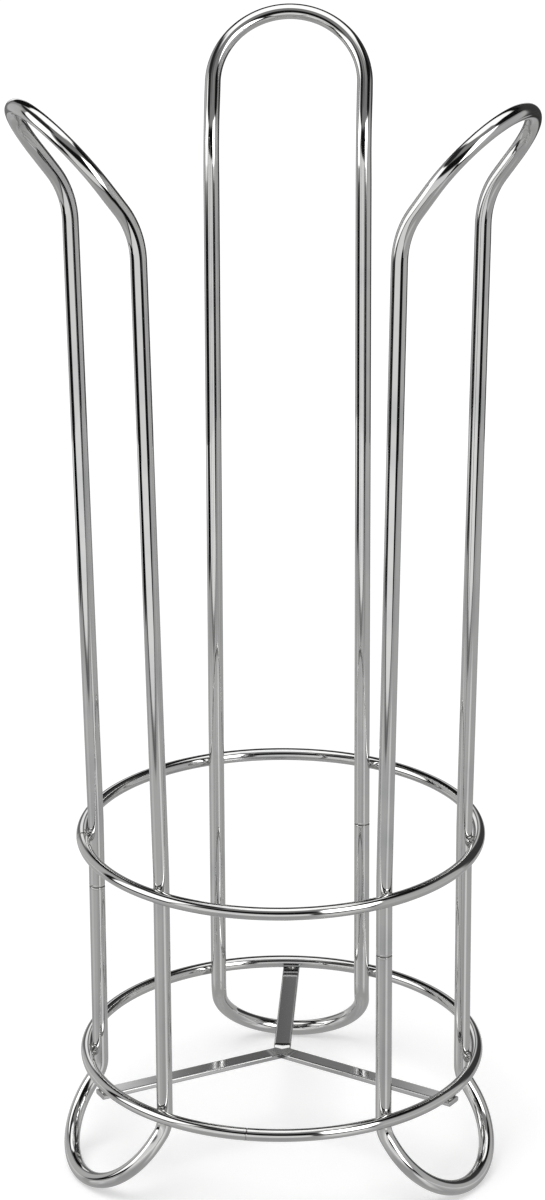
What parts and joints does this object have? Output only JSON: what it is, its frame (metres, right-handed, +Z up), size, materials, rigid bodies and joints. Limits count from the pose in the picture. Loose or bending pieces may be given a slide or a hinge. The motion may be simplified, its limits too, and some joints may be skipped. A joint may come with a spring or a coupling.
{
  "type": "toilet roll storage holder",
  "caption": "Free-standing chromed wire stand that stores toilet rolls in a stack: upright loops with splayed feet and outward-leaning arches, tied by two rings over flat floor bars.",
  "frame": {"origin": "on the stand's vertical axis, at floor level under the point where the three floor bars meet", "axes": "+Z up, +Y towards the back loop, +X to the right when seen from the front"},
  "size_m": [0.188, 0.1786, 0.423],
  "materials": {
    "chrome_wire": "mirror polished chrome plate on drawn steel wire",
    "chrome_bar": "mirror polished chrome plate on flat steel bar",
    "chrome_weld": "chrome plate over uneven weld metal"
  },
  "bodies": {
    "root": {"loop_left": "chrome_wire", "loop_right": "chrome_wire", "loop_back": "chrome_wire", "upper_ring": "chrome_wire", "lower_ring": "chrome_wire", "floor_bar_left": "chrome_bar", "floor_bar_right": "chrome_bar", "floor_bar_back": "chrome_bar", "upper_ring_welds": "chrome_weld", "lower_ring_welds": "chrome_weld", "floor_bar_welds": "chrome_weld", "hub_weld": "chrome_weld"}
  },
  "joints": []
}
